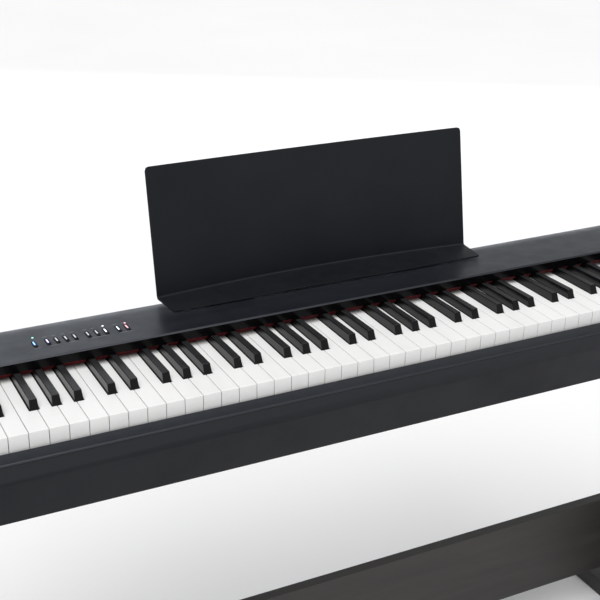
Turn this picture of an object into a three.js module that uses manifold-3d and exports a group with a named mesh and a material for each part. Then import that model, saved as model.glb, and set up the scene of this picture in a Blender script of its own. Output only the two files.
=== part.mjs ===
// Digital piano with 88 hinged keys on a matching furniture stand.
// Millimetres, +X to the player's right, +Y away from the player, +Z up.
// The origin is on the floor, under the middle of the instrument's case.
import * as THREE from 'three';
import { mergeVertices } from 'three/addons/utils/BufferGeometryUtils.js';
import Module from 'manifold-3d';

const wasm = await Module();
wasm.setup();

// ---- Driving dimensions ----------------------------------------------------
// Instrument values count from the front edge of the naturals (Y), the top of
// the naturals (Z) and the middle of the keyboard (X).

// Keyboard
const NATURAL_COUNT = 52;
const NATURAL_PITCH = 23.5;
const NATURAL_VISIBLE = 143;
const NATURAL_HIDDEN = 72;
const NATURAL_HEAD = 49;
const NATURAL_THICK = 14;
const NATURAL_LIP_DROP = 24;
const NATURAL_LIP_THICK = 4;
const NATURAL_WEB_DEPTH = 15;
const KEY_GAP = 1;
const KEY_DIP = 10;
const SHARP_FRONT = NATURAL_HEAD + 1;
const SHARP_SLOPE = 5;
const SHARP_HEIGHT = 12;
const SHARP_BACK_HEIGHT = 10;
const SHARP_BASE = 11;
const SHARP_DRAFT = 1.5;
const SHARP_SIDE_GAP = 1;
const SHARP_STEM_TOP = -1.5;
const SHARP_STEM_BOTTOM = -12;
const SHARP_WEB_DEPTH = 12;
const SHARP_WEB_TOP = -17;
const SHARP_WEB_BOTTOM = -24;
const SHARP_SHIFT = { A: 3.36, C: -2.35, D: 2.35, F: -3.36, G: 0 };

// Case
const CHEEK_WIDTH = 37.8;
const CHEEK_GAP = 1.2;
const CASE_FRONT = -20;
const CASE_TOP = -26;
const CASE_FOLD = -50;
const CASE_BOTTOM_FRONT = 9;
const CASE_BOTTOM = -118;
const CASE_CHAMFER = 6;
const CASE_WALL = 4;
const CASE_REAR_SPACE = 26;
const SEAT_GAP = 0.3;

// Top panel with its drop face over the keys
const PANEL_OVERHANG = 13;
const PANEL_TOP = 25.5;
const PANEL_TILT = THREE.MathUtils.degToRad(3);
const PANEL_WALL = 3;
const PANEL_LIP = 2;
const PANEL_BACK_RADIUS = 32;
const PANEL_CROWN_RADIUS = 150;
const PANEL_CROWN_TILT = THREE.MathUtils.degToRad(11);
const FACE_BOTTOM = 12;
const FELT_THICK = 2;
const FELT_BOTTOM = 1;
const FELT_TOP = 11;
const FELT_GAP = 1.5;
const FELT_RIB_THICK = 3;

// Rail in front of the keys
const SLIP_BACK = -3;
const SLIP_TOP = -18.6;
const SLIP_FRONT_TOP = -22.9;
const SLIP_SKIN = 4;
const SLIP_TONGUE_BOTTOM = -36;

// Blocks at the keyboard's ends
const CHEEK_FRONT_TOP = 4;
const CHEEK_BACK_TOP = 21;
const CHEEK_RADIUS = 10;

// Panel buttons: one pill each, in groups along the panel
const BUTTON_WIDTH = 5;
const BUTTON_LENGTH = 21;
const BUTTON_FROM_FACE = 45.5;
const BUTTON_PROUD = 0.6;
const BUTTON_DEPTH = 9;
const BUTTON_GAP = 0.4;
const BUTTON_PITCH = 11.8;
const BUTTON_FIRST_X = -438.2;
const BUTTON_GROUP_STEP = 17;
const BUTTON_GROUPS = [1, 4, 3, 2];
const BUTTON_TRAVEL_ROOM = 1.6;
const POWER_FROM_END = 90;
const POWER_RADIUS = 7;
const BOARD_THICK = 1.6;

// Music rest: a bent sheet whose fold bows backwards in the middle
const REST_HALF = 250;
const REST_TIP_HALF = 245.5;
const REST_SHEET = 2.2;
const REST_LEDGE_DEPTH = 49.5;
const REST_LEDGE_TOP = 26;
const REST_FOLD_FROM_BACK = 20.5;
const REST_FOLD_BOW = 15;
const REST_LEAN = 30.5;
const REST_TOP_BOW = 3;
const REST_TOP_Z = 203.5;
const REST_FILLET = 2.5;
const REST_TOP_CORNER = 6;
const REST_LEDGE_CORNER = 3;
const PEG_X = 150;
const PEG_WIDTH = 60;
const PEG_THICK = 3;
const PEG_FROM_FOLD = 21;
const PEG_BOTTOM = 12;
const PEG_GAP = 0.6;
const PEG_SHOULDER = 6;

// Works inside the case
const CHASSIS_END_GAP = 6;
const CHASSIS_FRONT = 0;
const CHASSIS_REAR = 23;
const CHASSIS_TOP = -42;
const CHASSIS_SHEET = 1.5;
const STOP_CLEARANCE = 1.2;
const STOP_FELT_THICK = 1.8;
const STOP_RAIL_DEPTH = 10;
const CONTACT_Y = 60;
const CONTACT_DEPTH = 50;
const SPEAKER_X = 430;
const SPEAKER_Y = 120;
const SPEAKER_RADIUS = 60;
const SPEAKER_HEIGHT = 44;
const SPEAKER_OVAL = 0.72;
const SLOT_COUNT = 6;
const SLOT_LENGTH = 80;
const SLOT_WIDTH = 5;
const SLOT_PITCH = 11;

// Sockets
const PHONES_FROM_END = 21;
const PHONES_Z = -40;
const PHONES_PITCH = 12;
const JACKS_X = 365;
const JACKS_Z = -48;
const JACKS_PITCH = 38;
const JACKS_HEIGHT = 28;
const JACKS_LAP = 6;
const DATA_WIDTH = 9;
const DATA_HEIGHT = 8;
const SOCKET_RADIUS = 3.4;
const SOCKET_DEPTH = 13;
const SOCKET_WALL = 2;

// Stand; heights count from the floor, depths from the case's middle
const STAND_HEIGHT = 607;
const SIDE_INSET = 24;
const SIDE_THICK = 22;
const SIDE_DEPTH = 220;
const SIDE_TAPER = 18;
const FOOT_LENGTH = 350;
const FOOT_WIDTH = 44;
const FOOT_HEIGHT = 32;
const FOOT_CHAMFER = 15;
const BACK_BOARD_Y = 60;
const BACK_BOARD_THICK = 18;
const BACK_BOARD_BOTTOM = 95;
const BACK_BOARD_HEIGHT = 150;
const BRACKET_SHEET = 3;
const BRACKET_DEPTH = 180;
const BRACKET_INSET = 10;
const BRACKET_LEDGE = 44;
const BRACKET_FLANGE = 44;
const SCREW_FROM_EDGE = 20;
const SCREW_Y = 60;
const SCREW_RADIUS = 4;
const SCREW_HEAD_RADIUS = 12;
const SCREW_HEAD_HEIGHT = 10;
const SCREW_GAP = 0.4;
const SCREW_REACH = 14;

// ---- Derived sizes -----------------------------------------------------------
const KEYBOARD_HALF = (NATURAL_COUNT / 2) * NATURAL_PITCH;
const NATURAL_END = NATURAL_VISIBLE + NATURAL_HIDDEN;
const FELT_FRONT = NATURAL_VISIBLE;
const SHARP_BACK = FELT_FRONT - FELT_GAP;
const SHARP_END = NATURAL_END - NATURAL_WEB_DEPTH - 5;
const CHEEK_INNER = KEYBOARD_HALF + CHEEK_GAP;
const CASE_HALF = CHEEK_INNER + CHEEK_WIDTH;
const CHASSIS_HALF = KEYBOARD_HALF - CHASSIS_END_GAP;
const CHASSIS_BACK = NATURAL_END + CHASSIS_REAR;
const CHASSIS_LEG = CASE_BOTTOM_FRONT + 2 * CASE_WALL;
const CASE_BACK = CHASSIS_BACK + CASE_REAR_SPACE;
const CASE_MIDDLE = (CASE_FRONT + CASE_BACK) / 2;
const CASE_FLOOR = CASE_BOTTOM + CASE_WALL;
const CHASSIS_FOOT = CASE_FLOOR + SEAT_GAP;
const KEY_TOP_HEIGHT = STAND_HEIGHT - CASE_BOTTOM;
const STOP_FELT_TOP = -NATURAL_LIP_DROP - KEY_DIP - STOP_CLEARANCE;
const PANEL_FRONT = FELT_FRONT - PANEL_OVERHANG;
const BUTTON_Y = PANEL_FRONT + BUTTON_FROM_FACE;
const POWER_X = POWER_FROM_END - CASE_HALF;
const REST_FOLD_Y = CASE_BACK - REST_FOLD_FROM_BACK;
const REST_FRONT = REST_FOLD_Y - REST_LEDGE_DEPTH;
const REST_TOP_Y = REST_FOLD_Y + REST_LEAN;
const PEG_FRONT = REST_FOLD_Y - PEG_FROM_FOLD;
const PHONES_X = PHONES_FROM_END - CASE_HALF;
const JACKS_WIDTH = 3 * JACKS_PITCH + 4;
const SIDE_OUTER_X = CASE_HALF - SIDE_INSET;
const SIDE_INNER_X = SIDE_OUTER_X - SIDE_THICK;
const BRACKET_OUTER_X = CASE_HALF - BRACKET_INSET;
const BRACKET_INNER_X = SIDE_INNER_X - BRACKET_LEDGE;
const SCREW_X = BRACKET_INNER_X + SCREW_FROM_EDGE;

// ---- Geometry helpers --------------------------------------------------------
function solidOf(geometry) {
  const bare = geometry.clone();
  bare.deleteAttribute('normal');
  bare.deleteAttribute('uv');
  const merged = mergeVertices(bare, 1e-4);
  return new wasm.Manifold(new wasm.Mesh({
    numProp: 3,
    vertProperties: new Float32Array(merged.attributes.position.array),
    triVerts: new Uint32Array(merged.index.array),
  }));
}

function geometryOf(solid) {
  const { vertProperties, triVerts } = solid.getMesh();
  const geometry = new THREE.BufferGeometry();
  geometry.setAttribute('position', new THREE.BufferAttribute(vertProperties, 3));
  geometry.setIndex(new THREE.BufferAttribute(triVerts, 1));
  return geometry;
}

function box([x0, x1], [y0, y1], [z0, z1]) {
  const geometry = new THREE.BoxGeometry(x1 - x0, y1 - y0, z1 - z0);
  return solidOf(geometry.translate((x0 + x1) / 2, (y0 + y1) / 2, (z0 + z1) / 2));
}

function extrude(points, depth, basis) {
  const shape = new THREE.Shape(points.map(([a, b]) => new THREE.Vector2(a, b)));
  const geometry = new THREE.ExtrudeGeometry(shape, { depth, bevelEnabled: false });
  return geometry.applyMatrix4(new THREE.Matrix4().makeBasis(...basis));
}

// A prism along X from an outline of [y, z] points.
function prismX(points, [x0, x1]) {
  const basis = [new THREE.Vector3(0, 1, 0), new THREE.Vector3(0, 0, 1), new THREE.Vector3(1, 0, 0)];
  return solidOf(extrude(points, x1 - x0, basis).translate(x0, 0, 0));
}

// A prism along Y from an outline of [x, z] points.
function prismY(points, [y0, y1]) {
  const basis = [new THREE.Vector3(1, 0, 0), new THREE.Vector3(0, 0, 1), new THREE.Vector3(0, -1, 0)];
  return solidOf(extrude(points, y1 - y0, basis).translate(0, y1, 0));
}

// A prism along Z from an outline of [x, y] points.
function prismZ(points, [z0, z1]) {
  const basis = [new THREE.Vector3(1, 0, 0), new THREE.Vector3(0, 1, 0), new THREE.Vector3(0, 0, 1)];
  return solidOf(extrude(points, z1 - z0, basis).translate(0, 0, z0));
}

function arc([cx, cy], radius, from, to, steps) {
  return Array.from({ length: steps + 1 }, (_, i) => {
    const angle = from + ((to - from) * i) / steps;
    return [cx + radius * Math.cos(angle), cy + radius * Math.sin(angle)];
  });
}

function circle(centre, radius, sides) {
  return arc(centre, radius, 0, 2 * Math.PI * (1 - 1 / sides), sides - 1);
}

function pill(width, length) {
  const radius = width / 2;
  const reach = length / 2 - radius;
  return [...arc([0, reach], radius, 0, Math.PI, 6), ...arc([0, -reach], radius, Math.PI, 2 * Math.PI, 6)];
}

function crossing(a, b) {
  const cross = a.direction.x * b.direction.y - a.direction.y * b.direction.x;
  const between = b.origin.clone().sub(a.origin);
  const along = (between.x * b.direction.y - between.y * b.direction.x) / cross;
  return a.origin.clone().addScaledVector(a.direction, along).toArray();
}

// Moves each edge of a convex, counter-clockwise outline inwards by one wall.
function inset(points, wall) {
  const edges = points.map((point, i) => {
    const next = points[(i + 1) % points.length];
    const direction = new THREE.Vector2(next[0] - point[0], next[1] - point[1]).normalize();
    const inward = new THREE.Vector2(-direction.y, direction.x);
    return { origin: new THREE.Vector2(...point).addScaledVector(inward, wall), direction };
  });
  return edges.map((edge, i) => crossing(edges[(i + edges.length - 1) % edges.length], edge));
}

function join(solids) {
  return solids.reduce((sum, solid) => sum.add(solid));
}

function cut(solid, tools) {
  return tools.reduce((rest, tool) => rest.subtract(tool), solid);
}

function mesh(name, solid, { colour, roughness, metalness = 0 }) {
  const material = new THREE.MeshStandardMaterial({ color: colour, roughness, metalness });
  const part = new THREE.Mesh(geometryOf(solid), material);
  part.name = name;
  return part;
}

// ---- Materials ---------------------------------------------------------------
const IVORY = { colour: 0xf2f2ef, roughness: 0.35 };
const EBONY = { colour: 0x1c1c1e, roughness: 0.55 };
const PANEL_BLACK = { colour: 0x2b2d33, roughness: 0.45 };
const CASE_BLACK = { colour: 0x26282c, roughness: 0.5 };
const REST_BLACK = { colour: 0x1e2023, roughness: 0.5 };
const RED_FELT = { colour: 0x3a0a10, roughness: 0.95 };
const STEEL = { colour: 0x8d9094, roughness: 0.4, metalness: 0.9 };
const GREEN_BOARD = { colour: 0x1f4a2c, roughness: 0.6 };
const BLACK_RUBBER = { colour: 0x161616, roughness: 0.9 };
const BUTTON_GREY = { colour: 0x8a8d92, roughness: 0.4 };
const STAND_BLACK = { colour: 0x1d1e20, roughness: 0.6 };

// ---- Keys ----------------------------------------------------------------------
function naturalLeft(index) {
  return index * NATURAL_PITCH - KEYBOARD_HALF;
}

// Centre of the sharp between natural `index` and the next one, or null.
function sharpCentre(index) {
  const shift = SHARP_SHIFT['ABCDEFG'[(index + 7) % 7]];
  const inside = index >= 0 && index < NATURAL_COUNT - 1;
  return inside && shift !== undefined ? naturalLeft(index + 1) + shift : null;
}

function natural(index) {
  const left = naturalLeft(index) + KEY_GAP / 2;
  const right = naturalLeft(index + 1) - KEY_GAP / 2;
  const slot = SHARP_BASE / 2 + SHARP_SIDE_GAP;
  const before = sharpCentre(index - 1);
  const after = sharpCentre(index);
  const tail = [before === null ? left : before + slot, after === null ? right : after - slot];
  const depth = [-NATURAL_THICK, 0];
  return join([
    box([left, right], [0, NATURAL_HEAD], depth),
    box(tail, [NATURAL_HEAD - 1, NATURAL_END], depth),
    box([left, right], [0, NATURAL_LIP_THICK], [-NATURAL_LIP_DROP, 0]),
  ]);
}

function sharp(centre) {
  const half = SHARP_BASE / 2;
  const halfTop = half - SHARP_DRAFT / 2;
  const side = prismX([
    [SHARP_FRONT, SHARP_STEM_BOTTOM],
    [SHARP_END, SHARP_STEM_BOTTOM],
    [SHARP_END, SHARP_STEM_TOP],
    [SHARP_BACK, SHARP_STEM_TOP],
    [SHARP_BACK, SHARP_BACK_HEIGHT],
    [SHARP_FRONT + SHARP_SLOPE, SHARP_HEIGHT],
    [SHARP_FRONT, 0],
  ], [centre - half, centre + half]);
  const section = prismY([
    [centre - half, SHARP_STEM_BOTTOM - 1],
    [centre + half, SHARP_STEM_BOTTOM - 1],
    [centre + half, 0],
    [centre + halfTop, SHARP_HEIGHT + 0.1],
    [centre - halfTop, SHARP_HEIGHT + 0.1],
    [centre - half, 0],
  ], [SHARP_FRONT - 1, SHARP_END + 1]);
  return side.intersect(section);
}

// Naturals `first` to `last` on one hidden web behind the felt.
function naturalComb(first, last) {
  const keys = [];
  for (let index = first; index <= last; index += 1) keys.push(natural(index));
  const span = [naturalLeft(first) + KEY_GAP / 2, naturalLeft(last + 1) - KEY_GAP / 2];
  return join([...keys, box(span, [NATURAL_END - NATURAL_WEB_DEPTH, NATURAL_END], [-NATURAL_THICK, 0])]);
}

function sharpCentres(first, last) {
  const centres = [];
  for (let index = first; index <= last; index += 1) centres.push(sharpCentre(index));
  return centres.filter((centre) => centre !== null);
}

// The sharps between the same naturals, on a lower web under their stems.
function sharpComb(first, last) {
  const centres = sharpCentres(first, last);
  const half = SHARP_BASE / 2;
  const webDepth = [SHARP_END - SHARP_WEB_DEPTH, SHARP_END];
  const riserHeight = [SHARP_WEB_BOTTOM, SHARP_STEM_BOTTOM + 1];
  const risers = centres.map((x) => box([x - half, x + half], webDepth, riserHeight));
  const span = [centres[0] - half, centres[centres.length - 1] + half];
  const web = box(span, webDepth, [SHARP_WEB_BOTTOM, SHARP_WEB_TOP]);
  return join([...centres.map(sharp), ...risers, web]);
}

function keySections() {
  const sections = [
    { label: 'A0_B1', first: 0, last: 8 },
    { label: 'C2_B3', first: 9, last: 22 },
    { label: 'C5_B6', first: 30, last: 43 },
    { label: 'C7_C8', first: 44, last: 51 },
  ];
  return sections.flatMap(({ label, first, last }) => [
    mesh(`naturals_${label}`, naturalComb(first, last), IVORY),
    mesh(`sharps_${label}`, sharpComb(first, last), EBONY),
  ]);
}

// The middle octave, each key free on its own hinge.
function middleOctave() {
  const first = 23;
  const keys = [];
  for (let index = first; index < first + 7; index += 1) {
    const letter = 'ABCDEFG'[index % 7];
    const centre = sharpCentre(index);
    keys.push(mesh(`key_${letter}4`, natural(index), IVORY));
    if (centre !== null) keys.push(mesh(`key_${letter}4_sharp`, sharp(centre), EBONY));
  }
  return keys;
}

// ---- Case ------------------------------------------------------------------------
function caseOutline(top) {
  return [
    [CASE_FRONT, top],
    [CASE_FRONT, CASE_FOLD],
    [CASE_BOTTOM_FRONT, CASE_BOTTOM],
    [CASE_BACK - CASE_CHAMFER, CASE_BOTTOM],
    [CASE_BACK, CASE_BOTTOM + CASE_CHAMFER],
    [CASE_BACK, top],
  ];
}

function speakerSlots() {
  const slots = [];
  for (const side of [-1, 1]) {
    for (let i = 0; i < SLOT_COUNT; i += 1) {
      const y = SPEAKER_Y + (i - (SLOT_COUNT - 1) / 2) * SLOT_PITCH;
      const x = side * SPEAKER_X;
      const outline = pill(SLOT_WIDTH, SLOT_LENGTH).map(([across, along]) => [x + along, y - across]);
      slots.push(prismZ(outline, [CASE_BOTTOM - 1, CASE_FLOOR + 1]));
    }
  }
  return slots;
}

function screwPlaces() {
  return [-1, 1].flatMap((side) => [-1, 1].map((end) => [side * SCREW_X, end * SCREW_Y]));
}

function screwHoles(offsetY, heights) {
  const radius = SCREW_RADIUS + SCREW_GAP;
  return screwPlaces().map(([x, y]) => prismZ(circle([x, y + offsetY], radius, 12), heights));
}

function bottomCase() {
  const outer = prismX(caseOutline(CASE_TOP), [-CASE_HALF, CASE_HALF]);
  const inside = CASE_HALF - CASE_WALL;
  const hollow = prismX(inset(caseOutline(CASE_TOP + 2 * CASE_WALL), CASE_WALL), [-inside, inside]);
  const jackWindow = box(
    [JACKS_X - JACKS_WIDTH / 2, JACKS_X + JACKS_WIDTH / 2],
    [CASE_BACK - CASE_WALL - 1, CASE_BACK + 1],
    [JACKS_Z - JACKS_HEIGHT / 2, JACKS_Z + JACKS_HEIGHT / 2],
  );
  const phonesWindow = box(
    [PHONES_X - PHONES_PITCH, PHONES_X + PHONES_PITCH],
    [CASE_FRONT - 1, CASE_FRONT + CASE_WALL + 1],
    [PHONES_Z - PHONES_PITCH / 2, PHONES_Z + PHONES_PITCH / 2],
  );
  const holes = screwHoles(CASE_MIDDLE, [CASE_BOTTOM - 1, CASE_FLOOR + 1]);
  return cut(outer, [hollow, jackWindow, phonesWindow, ...speakerSlots(), ...holes]);
}

function panelHeight(y) {
  return PANEL_TOP - Math.tan(PANEL_TILT) * (y - PANEL_FRONT);
}

// The top slopes back, rolls over a shallow crown and turns down at the rear.
function panelOutline(bottom, frontEdge) {
  const bendY = CASE_BACK - PANEL_BACK_RADIUS;
  const crownEnd = bendY + PANEL_BACK_RADIUS * Math.sin(PANEL_CROWN_TILT);
  const crownDepth = PANEL_CROWN_RADIUS * (Math.sin(PANEL_CROWN_TILT) - Math.sin(PANEL_TILT));
  const crownStart = crownEnd - crownDepth;
  const crown = [
    crownStart - PANEL_CROWN_RADIUS * Math.sin(PANEL_TILT),
    panelHeight(crownStart) - PANEL_CROWN_RADIUS * Math.cos(PANEL_TILT),
  ];
  const bendZ = crown[1] + (PANEL_CROWN_RADIUS - PANEL_BACK_RADIUS) * Math.cos(PANEL_CROWN_TILT);
  const [bendTop, crownTop] = [PANEL_CROWN_TILT, PANEL_TILT].map((tilt) => Math.PI / 2 - tilt);
  return [
    [PANEL_FRONT, bottom],
    [CASE_BACK, bottom],
    ...arc([bendY, bendZ], PANEL_BACK_RADIUS, 0, bendTop, 7),
    ...arc(crown, PANEL_CROWN_RADIUS, bendTop, crownTop, 4).slice(1),
    ...frontEdge,
  ];
}

function onPanel(x, solid) {
  const tilt = new THREE.Matrix4().makeRotationX(-PANEL_TILT);
  const place = new THREE.Matrix4().makeTranslation(x, BUTTON_Y, panelHeight(BUTTON_Y));
  return solid.transform(place.multiply(tilt).toArray());
}

function buttonPlaces() {
  const places = [];
  let x = BUTTON_FIRST_X;
  for (const count of BUTTON_GROUPS) {
    for (let i = 0; i < count; i += 1) places.push(x + i * BUTTON_PITCH);
    x += (count - 1) * BUTTON_PITCH + BUTTON_GROUP_STEP;
  }
  return places;
}

function pegSlots() {
  const half = PEG_WIDTH / 2 + PEG_GAP;
  const depth = [PEG_FRONT - PEG_GAP, PEG_FRONT + PEG_THICK + PEG_GAP];
  return [-PEG_X, PEG_X].map((x) => box([x - half, x + half], depth, [PEG_BOTTOM, PANEL_TOP]));
}

function topPanel() {
  const bottom = CASE_TOP + SEAT_GAP;
  const inside = CASE_HALF - CASE_WALL;
  const squareEdge = [[PANEL_FRONT, PANEL_TOP]];
  const brokenEdge = [
    [PANEL_FRONT + PANEL_LIP, panelHeight(PANEL_FRONT + PANEL_LIP)],
    [PANEL_FRONT, PANEL_TOP - PANEL_LIP],
  ];
  const outer = prismX(panelOutline(bottom, brokenEdge), [-CASE_HALF, CASE_HALF]);
  const innerOutline = inset(panelOutline(bottom - 2 * PANEL_WALL, squareEdge), PANEL_WALL);
  const hollow = prismX(innerOutline, [-inside, inside]);
  const mouthDepth = [PANEL_FRONT - 1, PANEL_FRONT + PANEL_WALL + 1];
  const keyMouth = box([-inside, inside], mouthDepth, [bottom - 1, FACE_BOTTOM]);
  const feltRib = box(
    [-KEYBOARD_HALF, KEYBOARD_HALF],
    [FELT_FRONT + FELT_THICK + SEAT_GAP, FELT_FRONT + FELT_THICK + SEAT_GAP + FELT_RIB_THICK],
    [FELT_BOTTOM, panelHeight(FELT_FRONT) - PANEL_WALL / 2],
  );
  const through = [-PANEL_WALL * 2, PANEL_WALL];
  const pillHole = prismZ(pill(BUTTON_WIDTH + 2 * BUTTON_GAP, BUTTON_LENGTH + 2 * BUTTON_GAP), through);
  const powerHole = prismZ(circle([0, 0], POWER_RADIUS + BUTTON_GAP, 20), through);
  const buttonHoles = buttonPlaces().map((x) => onPanel(x, pillHole));
  const shell = cut(outer, [hollow, keyMouth]).add(feltRib);
  return cut(shell, [...buttonHoles, onPanel(POWER_X, powerHole), ...pegSlots()]);
}

function keyslip() {
  const half = CHEEK_INNER - SEAT_GAP;
  const tongueFront = CASE_FRONT + CASE_WALL + SEAT_GAP;
  const tongueBack = tongueFront + CASE_WALL;
  const seat = CASE_TOP + SEAT_GAP;
  return prismX([
    [SLIP_BACK, SLIP_TOP],
    [CASE_FRONT + 1, SLIP_FRONT_TOP],
    [CASE_FRONT, SLIP_FRONT_TOP - 1.2],
    [CASE_FRONT, seat],
    [tongueFront, seat],
    [tongueFront, SLIP_TONGUE_BOTTOM],
    [tongueBack, SLIP_TONGUE_BOTTOM],
    [tongueBack, SLIP_FRONT_TOP - SLIP_SKIN / 2],
    [SLIP_BACK, SLIP_TOP - SLIP_SKIN],
  ], [-half, half]);
}

function cheekBlock(side) {
  const back = PANEL_FRONT - SEAT_GAP;
  const nose = [CASE_FRONT + CHEEK_RADIUS, CHEEK_FRONT_TOP - CHEEK_RADIUS];
  const outline = [
    [CASE_FRONT, CASE_TOP + SEAT_GAP],
    [back, CASE_TOP + SEAT_GAP],
    [back, CHEEK_BACK_TOP],
    ...arc(nose, CHEEK_RADIUS, Math.PI / 2, Math.PI, 5),
  ];
  const span = [CHEEK_INNER, CASE_HALF].map((x) => x * side).sort((a, b) => a - b);
  return prismX(outline, span);
}

function keyFelt() {
  const depth = [FELT_FRONT, FELT_FRONT + FELT_THICK];
  return box([-KEYBOARD_HALF, KEYBOARD_HALF], depth, [FELT_BOTTOM, FELT_TOP]);
}

// ---- Buttons -----------------------------------------------------------------------
function pillButtons() {
  const cap = prismZ(pill(BUTTON_WIDTH, BUTTON_LENGTH), [-BUTTON_DEPTH, BUTTON_PROUD]);
  return buttonPlaces().map((x, i) => mesh(`panel_button_${i + 1}`, onPanel(x, cap), BUTTON_GREY));
}

function powerButton() {
  const cap = prismZ(circle([0, 0], POWER_RADIUS, 20), [-BUTTON_DEPTH, BUTTON_PROUD]);
  return mesh('power_button', onPanel(POWER_X, cap), BUTTON_GREY);
}

function panelBoard() {
  const places = buttonPlaces();
  const top = -BUTTON_DEPTH - BUTTON_TRAVEL_ROOM;
  const margin = 2 * BUTTON_WIDTH;
  const board = box(
    [POWER_X - POWER_RADIUS - margin, places[places.length - 1] + margin],
    [-BUTTON_LENGTH / 2 - margin / 2, BUTTON_LENGTH / 2 + margin / 2],
    [top - BOARD_THICK, top],
  );
  return onPanel(0, board);
}

// ---- Music rest ----------------------------------------------------------------------
// How far a rounded corner pulls the side in at `distance` from the sheet's end.
function cornerInset(distance, radius) {
  const left = Math.max(radius - distance, 0);
  return radius - Math.sqrt(radius * radius - left * left);
}

// Front-surface line of the sheet at one place across it, from ledge to top.
function restPath(across) {
  const bow = 1 - across * across;
  const fold = new THREE.Vector2(REST_FOLD_Y + REST_FOLD_BOW * bow, REST_LEDGE_TOP);
  const top = new THREE.Vector2(REST_TOP_Y + REST_TOP_BOW * bow, REST_TOP_Z);
  const front = new THREE.Vector2(REST_FRONT, REST_LEDGE_TOP);
  const up = top.clone().sub(fold).normalize();
  const bendStart = fold.clone().sub(new THREE.Vector2(REST_FILLET, 0));
  const bendEnd = fold.clone().addScaledVector(up, REST_FILLET);
  const rows = [0, 0.1, 0.4, 1].map((share) => {
    const distance = share * REST_LEDGE_CORNER;
    const at = front.clone().add(new THREE.Vector2(distance, 0));
    return { at, along: new THREE.Vector2(1, 0), inset: cornerInset(distance, REST_LEDGE_CORNER) };
  });
  const bend = new THREE.QuadraticBezierCurve(bendStart, fold, bendEnd);
  for (const t of [0, 0.25, 0.5, 0.75, 1]) {
    rows.push({ at: bend.getPoint(t), along: bend.getTangent(t), inset: 0 });
  }
  for (const share of [1, 0.4, 0.1, 0]) {
    const distance = share * REST_TOP_CORNER;
    const at = top.clone().addScaledVector(up, -distance);
    rows.push({ at, along: up, inset: cornerInset(distance, REST_TOP_CORNER) });
  }
  return rows;
}

function restRowHalf(row) {
  const share = THREE.MathUtils.clamp((row.at.x - REST_FRONT) / REST_LEDGE_DEPTH, 0, 1);
  return THREE.MathUtils.lerp(REST_TIP_HALF, REST_HALF, share) - row.inset;
}

function restVertex(across, row, side) {
  const behind = new THREE.Vector2(row.along.y, -row.along.x);
  const at = row.at.clone().addScaledVector(behind, side * REST_SHEET);
  return [across * restRowHalf(row), at.x, at.y];
}

function bentSheet(columns) {
  const paths = Array.from({ length: columns + 1 }, (_, i) => restPath((2 * i) / columns - 1));
  const rowCount = paths[0].length;
  const sheetSize = paths.length * rowCount;
  const positions = [];
  for (const side of [0, 1]) {
    paths.forEach((path, i) => {
      const across = (2 * i) / columns - 1;
      path.forEach((row) => positions.push(...restVertex(across, row, side)));
    });
  }
  const indices = [];
  const quad = (a, b, c, d) => indices.push(a, b, c, a, c, d);
  const at = (i, j, side) => side * sheetSize + i * rowCount + j;
  for (let i = 0; i < columns; i += 1) {
    for (let j = 0; j < rowCount - 1; j += 1) {
      quad(at(i, j, 0), at(i + 1, j, 0), at(i + 1, j + 1, 0), at(i, j + 1, 0));
      quad(at(i, j, 1), at(i, j + 1, 1), at(i + 1, j + 1, 1), at(i + 1, j, 1));
    }
    quad(at(i, 0, 1), at(i + 1, 0, 1), at(i + 1, 0, 0), at(i, 0, 0));
    const last = rowCount - 1;
    quad(at(i, last, 0), at(i + 1, last, 0), at(i + 1, last, 1), at(i, last, 1));
  }
  for (let j = 0; j < rowCount - 1; j += 1) {
    quad(at(0, j, 1), at(0, j, 0), at(0, j + 1, 0), at(0, j + 1, 1));
    quad(at(columns, j, 0), at(columns, j, 1), at(columns, j + 1, 1), at(columns, j + 1, 0));
  }
  const geometry = new THREE.BufferGeometry();
  geometry.setAttribute('position', new THREE.Float32BufferAttribute(positions, 3));
  geometry.setIndex(indices);
  return solidOf(geometry);
}

function musicRest() {
  const pegTop = REST_LEDGE_TOP - REST_SHEET / 2;
  const shoulderBottom = panelHeight(PEG_FRONT) + SEAT_GAP;
  const pegs = [-PEG_X, PEG_X].flatMap((x) => [[0, PEG_BOTTOM], [PEG_SHOULDER, shoulderBottom]].map(
    ([extra, bottom]) => box(
      [x - PEG_WIDTH / 2 - extra, x + PEG_WIDTH / 2 + extra],
      [PEG_FRONT, PEG_FRONT + PEG_THICK],
      [bottom, pegTop],
    ),
  ));
  return join([bentSheet(20), ...pegs]);
}

// ---- Works inside the case ---------------------------------------------------------------
function keyChassis() {
  const railTop = STOP_FELT_TOP - STOP_FELT_THICK - SEAT_GAP;
  const innerTop = CHASSIS_TOP - CHASSIS_SHEET;
  const pivotFront = NATURAL_END + 2;
  return prismX([
    [CHASSIS_FRONT, innerTop],
    [CHASSIS_LEG, innerTop],
    [CHASSIS_LEG, CHASSIS_FOOT],
    [CHASSIS_LEG + CHASSIS_SHEET, CHASSIS_FOOT],
    [CHASSIS_LEG + CHASSIS_SHEET, innerTop],
    [CHASSIS_BACK - CHASSIS_SHEET, innerTop],
    [CHASSIS_BACK - CHASSIS_SHEET, CHASSIS_FOOT],
    [CHASSIS_BACK, CHASSIS_FOOT],
    [CHASSIS_BACK, -SEAT_GAP],
    [pivotFront, -SEAT_GAP],
    [pivotFront, CHASSIS_TOP],
    [CHASSIS_FRONT + STOP_RAIL_DEPTH, CHASSIS_TOP],
    [CHASSIS_FRONT + STOP_RAIL_DEPTH, railTop],
    [CHASSIS_FRONT, railTop],
  ], [-CHASSIS_HALF, CHASSIS_HALF]);
}

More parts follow.
